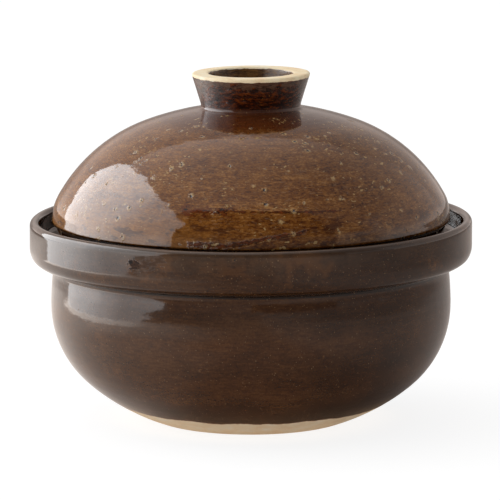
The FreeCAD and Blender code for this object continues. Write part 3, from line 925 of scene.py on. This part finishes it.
def make_softbox():
    """Large softbox close on the left: one lamp for reflections, one for the light it gives."""
    gloss = softbox_lamp("softbox_gloss", SOFTBOX_GLOSS, (0.92, 0.96, 1.0))
    gloss.visible_diffuse = False
    light = softbox_lamp("softbox_light", SOFTBOX_LIGHT, (1.0, 1.0, 1.0))
    light.visible_glossy = False


def room_walls(world, turn, y, z):
    """Grey walls by bearing, lighter low down, with three darker stretches."""
    walls = world.grey_ramp(turn, [(0.0, 0.22), (0.137, 0.22), (0.141, 0.7), (0.30, 1.0),
                                   (0.40, 1.0), (0.44, 0.8), (0.47, 0.68), (0.5, 0.6),
                                   (0.55, 0.5), (0.598, 0.48), (0.602, 0.62), (0.859, 0.58),
                                   (0.863, 0.22), (1.0, 0.22)])
    low = world.grey_ramp(z, [(0.0, 1.45), (0.17, 1.05), (0.5, 0.9), (0.7, 0.75)])
    behind = world.times(world.within(turn, 0.42, 0.45, 0.53, 0.55),
                         world.span(z, 0.2, 0.05, 0.0, 0.62))
    in_front = world.times(world.span(y, -0.15, -0.4), world.span(z, 0.08, 0.25, 0.0, 0.6))
    skirting = world.times(world.span(turn, 0.76, 0.80), world.span(z, 0.14, 0.04, 0.0, 0.6))
    return world.times(walls, low, world.rest_of(behind), world.rest_of(in_front),
                       world.rest_of(skirting))


def ceiling_panel(world, x, y, z):
    """Where the panel overhead is seen, and its level: brightest at the back and the left."""
    up = world.calc("MAXIMUM", z, 0.05)
    depth = world.calc("DIVIDE", y, up)
    side = world.calc("DIVIDE", x, up)
    front_edge = world.plus(depth, world.span(side, -0.1, -0.6, 0.0, -0.09))
    inside = world.times(world.span(depth, 0.91, 0.87), world.span(front_edge, -0.565, -0.545),
                         world.span(world.calc("ABSOLUTE", side), 1.6, 1.3))
    level = world.times(world.span(depth, -0.4, 0.9, 0.62, 1.05),
                        world.span(side, -0.5, 0.6, 1.35, 0.5))
    return inside, level


def make_world():
    """A dim room with a light ceiling panel; the lens itself sees plain white."""
    studio = bpy.data.worlds.new("studio")
    studio.use_nodes = True
    bpy.context.scene.world = studio
    world = Nodes(studio.node_tree)
    rays = world.node("ShaderNodeLightPath").outputs
    x, y, z = world.split(world.node("ShaderNodeTexCoord").outputs["Generated"])
    turn = world.plus(world.calc("DIVIDE", world.calc("ARCTAN2", x, y), TURN), 0.5)
    inside, panel = ceiling_panel(world, x, y, z)
    level = world.mix(inside, room_walls(world, turn, y, z), panel)
    warm = world.times(world.span(y, 0.0, 0.5), rays["Is Glossy Ray"])
    level = world.vector("MULTIPLY", level, world.mix(warm, (1.0, 1.0, 1.0), (1.25, 1.08, 1.0)))

    front = world.times(world.span(y, 0.2, -0.9, 0.0, FRONT_FILL), world.span(x, 0.4, -0.7))
    fill = world.plus(front, world.span(z, 0.2, 0.9, 0.0, TOP_FILL))
    soft = world.scaled(world.vector("ADD", level, world.join(fill, fill, fill)),
                        world.span(x, 0.0, 0.8, 1.0, RIGHT_SHARE))
    level = world.mix(rays["Is Diffuse Ray"], level, soft)
    level = world.mix(rays["Is Camera Ray"], level, (1, 1, 1))
    world.feed(studio.node_tree.nodes["Background"].inputs["Color"], level)


def floor_light(shader, x, y):
    """Light that the glaze mirrors from the floor: under the softbox, behind, at the foot."""
    hidden = shader.times(shader.span(x, -0.66, -0.7), shader.span(y, 0.2, 0.0, 0.0, 0.9))
    near = shader.times(shader.ratio(x, -0.1, -0.5), shader.span(y, 0.85, 0.5),
                        shader.span(y, 0.0, 0.3, 1.0, 0.65), shader.span(y, -0.9, -0.35),
                        shader.rest_of(hidden))
    strip = shader.times(shader.within(x, -0.67, -0.66, -0.56, -0.535),
                         shader.span(y, -0.5, 0.0, 0.2, 2.4),
                         shader.within(y, -0.42, -0.36, 0.36, 0.42))
    behind = shader.ratio(shader.calc("SUBTRACT", y, x), -0.1, 0.4)
    behind = shader.times(behind, behind, 0.5, shader.span(x, 0.05, -0.15),
                          shader.span(y, 1.1, 0.5))
    left_foot = shader.times(shader.within(x, -0.34, -0.2, -0.1, -0.03), 0.24,
                             shader.within(y, -0.35, -0.2, 0.05, 0.25))
    right_foot = shader.times(shader.within(x, 0.08, 0.2, 0.6, 1.0), 0.13)
    return shader.plus(near, strip, behind, left_foot, right_foot)


def floor_material():
    """White floor: the lens sees it nearly white, with the object's soft shadow on it."""
    shader = Shader("floor")
    rays = shader.node("ShaderNodeLightPath").outputs
    x, y, _ = shader.split(shader.place)
    tone = shader.mix(rays["Is Glossy Ray"], (0.8, 0.8, 0.8), (0.46, 0.40, 0.37))
    gloss = shader.times(floor_light(shader, x, y), rays["Is Glossy Ray"])
    lift = shader.calc("MULTIPLY_ADD", rays["Is Diffuse Ray"], FLOOR_BOUNCE, gloss)
    plain = shader.lit_surface(tone, (1, 0.92, 0.85), lift)
    shown = shader.lit_surface((0.24, 0.24, 0.24), (0.85, 0.85, 0.85), 1.0)
    both = shader.node("ShaderNodeMixShader", {0: rays["Is Camera Ray"], 1: plain, 2: shown})
    output = shader.tree.nodes["Material Output"]
    shader.tree.links.new(both.outputs[0], output.inputs["Surface"])
    return shader.material


def make_floor():
    mesh = bpy.data.meshes.new("floor")
    corners = [(-FLOOR_REACH, -FLOOR_REACH, 0), (FLOOR_REACH, -FLOOR_REACH, 0),
               (FLOOR_REACH, FLOOR_REACH, 0), (-FLOOR_REACH, FLOOR_REACH, 0)]
    mesh.from_pydata(corners, [], [(0, 1, 2, 3)])
    mesh.materials.append(floor_material())
    floor = bpy.data.objects.new("floor", mesh)
    floor.location.z = -FLOOR_DROP
    bpy.context.scene.collection.objects.link(floor)


make_pot(pot_glaze(), inner_glaze("pot_inside", (0.05, 0.018, 0.007), (0.16, 0.07, 0.025)))
make_lid(lid_glaze(), inner_glaze("lid_inside", (0.07, 0.025, 0.008), (0.20, 0.09, 0.03)))
dress_racks(rack_steel())
make_camera()
make_softbox()
make_world()
make_floor()
bpy.context.scene.view_settings.view_transform = "Standard"
